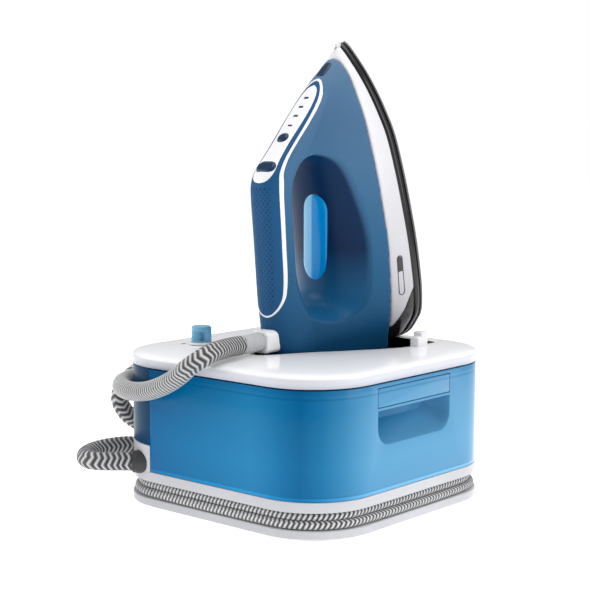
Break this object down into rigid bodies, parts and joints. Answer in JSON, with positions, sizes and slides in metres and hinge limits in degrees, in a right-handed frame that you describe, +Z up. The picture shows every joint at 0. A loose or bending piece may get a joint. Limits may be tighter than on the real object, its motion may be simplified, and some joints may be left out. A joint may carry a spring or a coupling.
{
  "type": "steam generator iron",
  "caption": "Compact steam generator iron: a square base with a pull-out water tank, a docked iron, a braided steam hose and a wound mains cord.",
  "frame": {"origin": "on the floor under the middle of the base, without its hose and mains cord", "axes": "+Z up, -Y the long front face that the handle of the docked iron points to, +X the face that the water tank pulls out of"},
  "size_m": [0.4166, 0.4067, 0.3758],
  "materials": {
    "white_plastic": "gloss",
    "iron_blue": "satin",
    "housing_blue": "satin",
    "navy_plastic": "gloss",
    "clear_blue": "clear gloss",
    "knob_blue": "gloss",
    "lens_blue": "gloss",
    "black_plastic": "satin",
    "grey_plastic": "satin",
    "rubber": "matt",
    "steel": "brushed",
    "sole_metal": "polished",
    "brass": "plain",
    "clear_pipe": "milky",
    "board": "matt",
    "hose_braid": "woven",
    "cord_braid": "woven"
  },
  "bodies": {
    "base": {"base_plate": "white_plastic", "base_screw_four": "steel", "base_screw_one": "steel", "base_screw_three": "steel", "base_screw_two": "steel", "boiler": "steel", "control_board": "board", "cord_drum": "black_plastic", "dock_well": "black_plastic", "foot_front_left": "rubber", "foot_front_right": "rubber", "foot_rear_left": "rubber", "foot_rear_right": "rubber", "hose_coil": "hose_braid", "hose_front": "hose_braid", "hose_gland": "grey_plastic", "hose_rear": "hose_braid", "inner_housing": "black_plastic", "lock_disc": "white_plastic", "lower_housing": "white_plastic", "mains_gland": "black_plastic", "mains_lead": "cord_braid", "mains_plug": "black_plastic", "mains_tail": "cord_braid", "mains_winding": "cord_braid", "pump": "steel", "rear_cover": "housing_blue", "steam_pipe": "brass", "steam_valve": "brass", "thermostat": "black_plastic", "top_cover": "white_plastic", "water_pipe": "clear_pipe", "water_port": "black_plastic"},
    "iron": {"iron_body": "iron_blue", "soleplate": "sole_metal", "heat_shield": "black_plastic", "heating_block": "sole_metal", "skirt": "white_plastic", "heel_guard": "black_plastic", "trim_ring": "white_plastic", "grip_cover": "navy_plastic", "nose_cap": "navy_plastic", "control_panel": "white_plastic", "badge_lens": "lens_blue", "light_guide": "lens_blue", "iron_board": "board", "hose_connector": "white_plastic", "strain_relief": "grey_plastic", "trigger_spring": "steel"},
    "tank": {"water_tank": "clear_blue", "tank_cover": "clear_blue", "tank_valve": "black_plastic"},
    "tank_flap": {"tank_flap": "clear_blue"},
    "lock_knob": {"lock_knob": "knob_blue", "lock_shaft": "steel"},
    "mode_button": {"mode_button": "navy_plastic"},
    "settings_button": {"settings_button": "navy_plastic"},
    "steam_trigger": {"steam_trigger": "navy_plastic"}
  },
  "joints": [
    {"name": "iron_lift", "type": "slide", "parent": "base", "child": "iron", "axis": [0, 0, 1], "range_m": [0, 0.06]},
    {"name": "tank_pull", "type": "slide", "parent": "base", "child": "tank", "axis": [1, 0, 0], "range_m": [0, 0.19]},
    {"name": "flap_open", "type": "hinge", "parent": "tank", "child": "tank_flap", "pos_m": [0.116, -0.004, 0.0952], "axis": [0, 1, 0], "range_deg": [0, 40]},
    {"name": "lock_turn", "type": "hinge", "parent": "base", "child": "lock_knob", "pos_m": [-0.07, -0.051, 0.1255], "axis": [0, 0, 1], "range_deg": [0, 90]},
    {"name": "mode_press", "type": "slide", "parent": "iron", "child": "mode_button", "axis": [0, 0.7508, -0.6606], "range_m": [0, 0.001], "stiffness_N_per_m": 1000, "springref_m": -0.001},
    {"name": "settings_press", "type": "slide", "parent": "iron", "child": "settings_button", "axis": [0, 0.7508, -0.6606], "range_m": [0, 0.001], "stiffness_N_per_m": 1000, "springref_m": -0.001},
    {"name": "trigger_pull", "type": "slide", "parent": "iron", "child": "steam_trigger", "axis": [0, -0.9836, -0.1805], "range_m": [0, 0.003], "stiffness_N_per_m": 800, "springref_m": -0.002, "deforming": ["trigger_spring"]}
  ]
}
